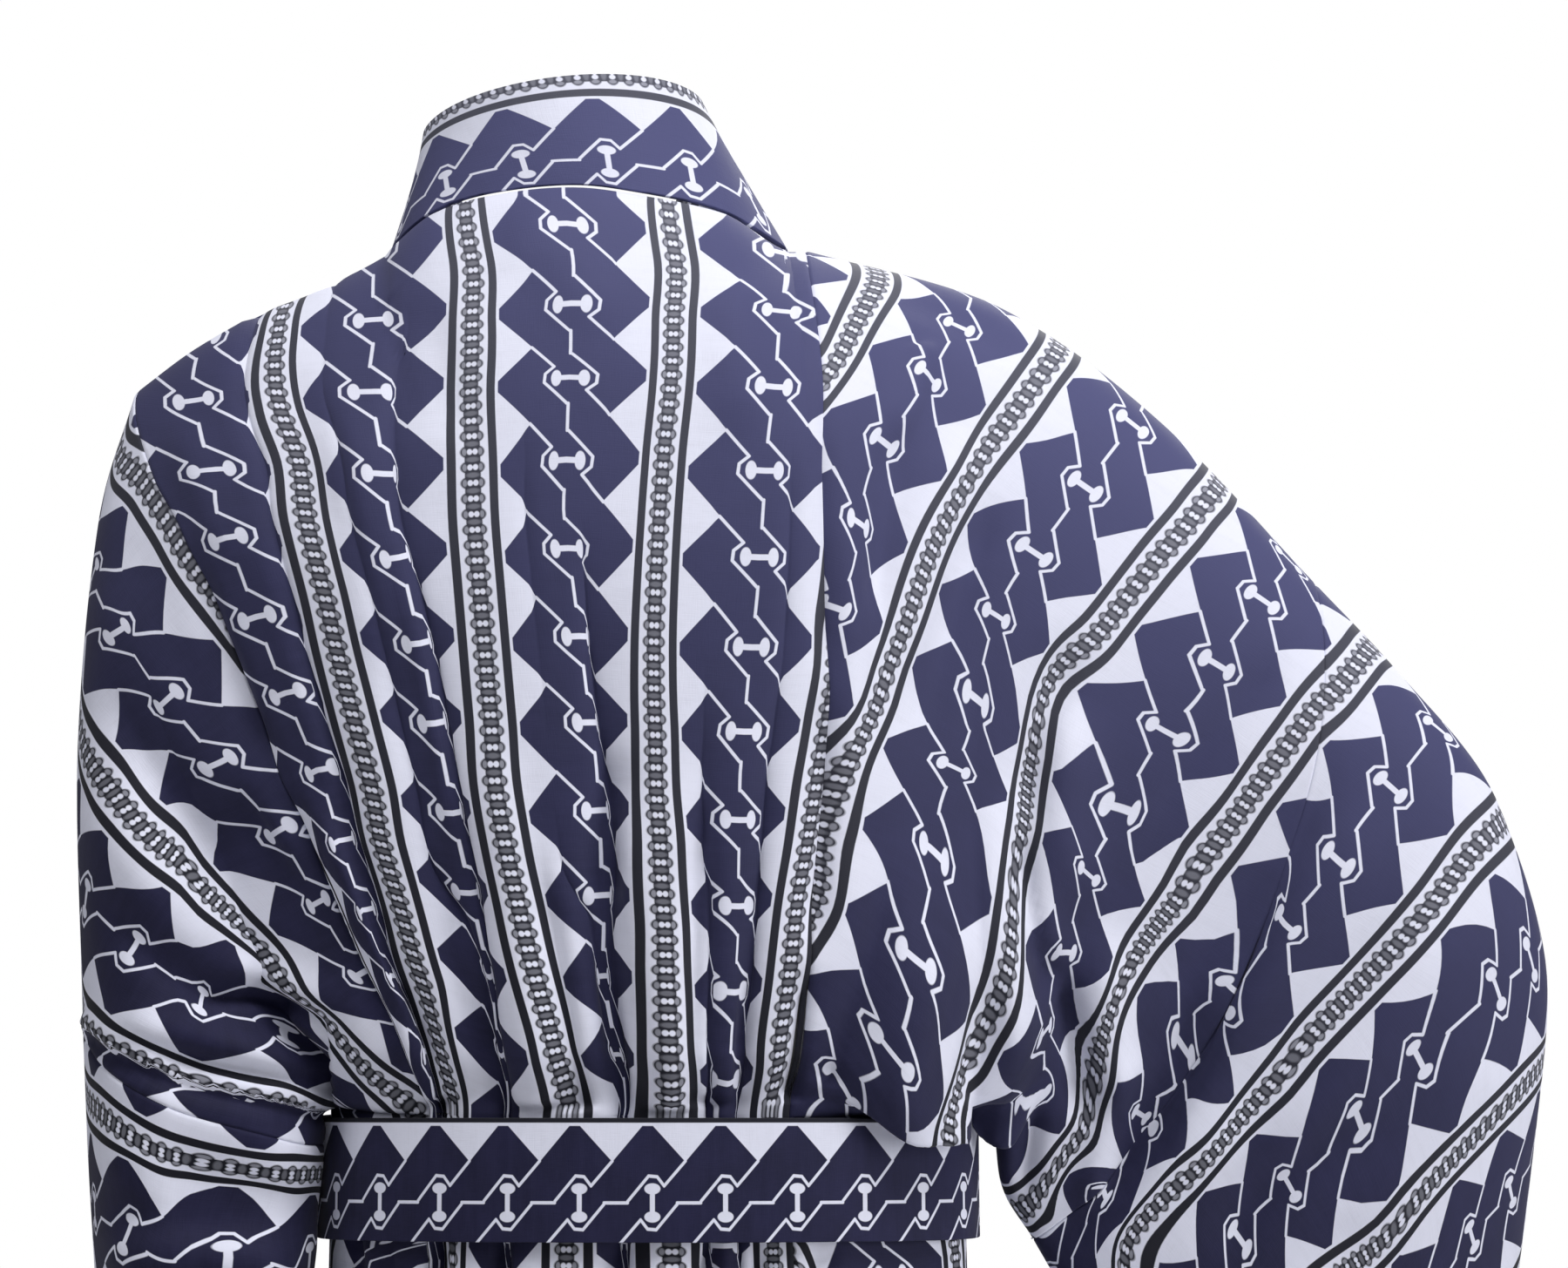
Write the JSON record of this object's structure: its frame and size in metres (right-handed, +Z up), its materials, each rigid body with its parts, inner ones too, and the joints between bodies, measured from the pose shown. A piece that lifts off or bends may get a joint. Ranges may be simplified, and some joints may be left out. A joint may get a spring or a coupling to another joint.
{
  "type": "cotton yukata robe",
  "caption": "Long cotton yukata robe in its worn shape, with wide sleeves, a standing collar band, a left-over-right wrap front and its own flat tied belt.",
  "frame": {"origin": "on the line between the tops of the shoulders, under the middle of the neck, where the wearer's shoulders hold the robe", "axes": "+Z up from hem to neck, the robe's front faces -Y, +X is the wearer's left"},
  "size_m": [0.6453, 0.3496, 1.3245],
  "materials": {
    "printed_cotton": "smooth woven cotton, navy chain print on cool white",
    "printed_cotton_double": "the same cotton folded double for the collar band and the belt"
  },
  "bodies": {
    "root": {"back_panel": "printed_cotton", "side_left": "printed_cotton", "side_right": "printed_cotton", "sleeve_left": "printed_cotton", "sleeve_right": "printed_cotton", "front_left": "printed_cotton", "front_right": "printed_cotton", "collar": "printed_cotton_double", "belt": "printed_cotton_double", "belt_knot": "printed_cotton_double", "belt_tail_a": "printed_cotton_double", "belt_tail_b": "printed_cotton_double"}
  },
  "joints": []
}
